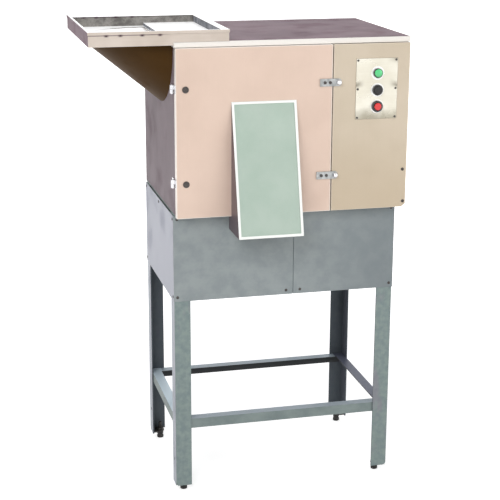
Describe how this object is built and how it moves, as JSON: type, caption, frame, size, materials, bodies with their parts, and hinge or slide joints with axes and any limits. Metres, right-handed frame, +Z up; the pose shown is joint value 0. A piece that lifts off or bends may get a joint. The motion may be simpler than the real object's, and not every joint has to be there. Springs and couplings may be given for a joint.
{
  "type": "vegetable cutting machine",
  "caption": "Floor-standing vegetable cutting machine: steel cabinet on an angle-steel stand, side feed tray, hinged front door with a sloping outlet hood, and push-button controls.",
  "frame": {"origin": "middle of the whole box on the floor plane, under the stand's levelling feet", "axes": "+Z up, -Y the front with the door and the controls, +X to the right seen from the front, so the feed tray is at -X"},
  "size_m": [0.8694, 0.57, 1.31],
  "materials": {
    "cabinet_paint": "satin",
    "panel_paint": "satin",
    "wall_paint": "satin",
    "lid_paint": "satin",
    "hood_steel": "satin",
    "hopper_steel": "satin",
    "trough_steel": "satin",
    "skirt_steel": "satin",
    "leg_steel": "satin",
    "frame_steel": "satin",
    "stainless": "brushed",
    "screw_steel": "satin",
    "chrome": "polished",
    "foot_steel": "dull",
    "cast_iron": "rough",
    "gear_steel": "oiled",
    "belt_rubber": "matt",
    "motor_paint": "gloss",
    "black_plastic": "matt",
    "bezel_plastic": "gloss",
    "green_lens": "gloss",
    "red_cap": "gloss"
  },
  "bodies": {
    "machine": {"drive_panel": "panel_paint", "left_wall": "wall_paint", "right_rear_wall": "wall_paint", "lid": "lid_paint", "hopper_tray": "hopper_steel", "hopper_trough": "trough_steel", "skirt_front_left": "skirt_steel", "skirt_front_right": "skirt_steel", "skirt_left": "skirt_steel", "skirt_right": "skirt_steel", "skirt_rear": "skirt_steel", "leg_front_left": "leg_steel", "leg_front_right": "leg_steel", "leg_rear_left": "leg_steel", "leg_rear_right": "leg_steel", "cross_rails": "frame_steel", "side_rails": "frame_steel", "top_frame": "frame_steel", "motor_cradle": "frame_steel", "base_plate": "frame_steel", "partition": "frame_steel", "control_plate": "stainless", "feed_throat": "stainless", "discharge_chute": "stainless", "drum_casing": "stainless", "slice_knife": "stainless", "stripper_comb": "stainless", "skirt_screws": "screw_steel", "panel_screws": "screw_steel", "hinge_leaves_wall": "chrome", "foot_plates": "foot_steel", "mechanism_plate": "cast_iron", "bearing_units": "cast_iron", "v_belts": "belt_rubber", "motor_body": "motor_paint", "contact_blocks": "black_plastic", "cable_gland": "black_plastic", "control_bezels": "bezel_plastic", "lamp_lens": "green_lens"},
    "door": {"door_panel": "cabinet_paint", "outlet_hood": "hood_steel", "door_screws": "screw_steel", "hinge_leaves_door": "chrome", "latch_straps": "stainless"},
    "upper_knob": {"latch_knob_upper": "chrome"},
    "lower_knob": {"latch_knob_lower": "chrome"},
    "start_cap": {"start_button": "black_plastic"},
    "stop_cap": {"stop_button": "red_cap"},
    "main_rotor": {"impeller": "stainless", "main_shaft": "gear_steel", "main_gear": "gear_steel", "main_pulley": "cast_iron"},
    "disc_cutter": {"disc_rotor": "stainless"},
    "crosscut_cutter": {"crosscut_rotor": "stainless"},
    "motor_rotor": {"motor_pulley": "cast_iron"},
    "gate": {"slice_gate": "stainless"},
    "front_left_foot": {"foot_front_left": "foot_steel"},
    "front_right_foot": {"foot_front_right": "foot_steel"},
    "rear_left_foot": {"foot_rear_left": "foot_steel"},
    "rear_right_foot": {"foot_rear_right": "foot_steel"}
  },
  "joints": [
    {"name": "door_hinge", "type": "hinge", "parent": "machine", "child": "door", "pos_m": [-0.21625, -0.175, 0.905], "axis": [0, 0, -1], "range_deg": [0, 110]},
    {"name": "upper_knob_turn", "type": "hinge", "parent": "door", "child": "upper_knob", "pos_m": [0.23173, -0.199, 1.164], "axis": [0, -1, 0], "range_deg": [0, 90]},
    {"name": "lower_knob_turn", "type": "hinge", "parent": "door", "child": "lower_knob", "pos_m": [0.22573, -0.199, 0.912], "axis": [0, -1, 0], "range_deg": [0, 90]},
    {"name": "start_press", "type": "slide", "parent": "machine", "child": "start_cap", "axis": [0, 1, 0], "range_m": [0, 0.003], "stiffness_N_per_m": 300, "springref_m": -0.001},
    {"name": "stop_press", "type": "slide", "parent": "machine", "child": "stop_cap", "axis": [0, 1, 0], "range_m": [0, 0.003], "stiffness_N_per_m": 300, "springref_m": -0.001},
    {"name": "main_spin", "type": "hinge", "parent": "machine", "child": "main_rotor", "pos_m": [0.08975, 0.075, 1.095], "axis": [1, 0, 0], "continuous": true},
    {"name": "disc_spin", "type": "hinge", "parent": "machine", "child": "disc_cutter", "pos_m": [0.08975, -0.09515, 1.18395], "axis": [1, 0, 0], "continuous": true},
    {"name": "crosscut_spin", "type": "hinge", "parent": "machine", "child": "crosscut_cutter", "pos_m": [0.08975, -0.10725, 1.07261], "axis": [1, 0, 0], "continuous": true},
    {"name": "motor_spin", "type": "hinge", "parent": "machine", "child": "motor_rotor", "pos_m": [0.30775, 0.075, 0.685], "axis": [1, 0, 0], "continuous": true},
    {"name": "gate_tilt", "type": "hinge", "parent": "machine", "child": "gate", "pos_m": [-0.04525, 0.10133, 1.23046], "axis": [1, 0, 0], "range_deg": [-3, 4.5]},
    {"name": "front_left_foot_turn", "type": "hinge", "parent": "machine", "child": "front_left_foot", "pos_m": [-0.18725, -0.133, 0.02], "axis": [0, 0, 1], "continuous": true},
    {"name": "front_right_foot_turn", "type": "hinge", "parent": "machine", "child": "front_right_foot", "pos_m": [0.38775, -0.133, 0.02], "axis": [0, 0, 1], "continuous": true},
    {"name": "rear_left_foot_turn", "type": "hinge", "parent": "machine", "child": "rear_left_foot", "pos_m": [-0.18725, 0.24, 0.02], "axis": [0, 0, 1], "continuous": true},
    {"name": "rear_right_foot_turn", "type": "hinge", "parent": "machine", "child": "rear_right_foot", "pos_m": [0.38775, 0.24, 0.02], "axis": [0, 0, 1], "continuous": true}
  ],
  "couplings": [
    {"joint": "disc_spin", "follows": "main_spin", "ratio": -1.6667},
    {"joint": "crosscut_spin", "follows": "main_spin", "ratio": 3},
    {"joint": "motor_spin", "follows": "main_spin", "ratio": 2.4444}
  ]
}
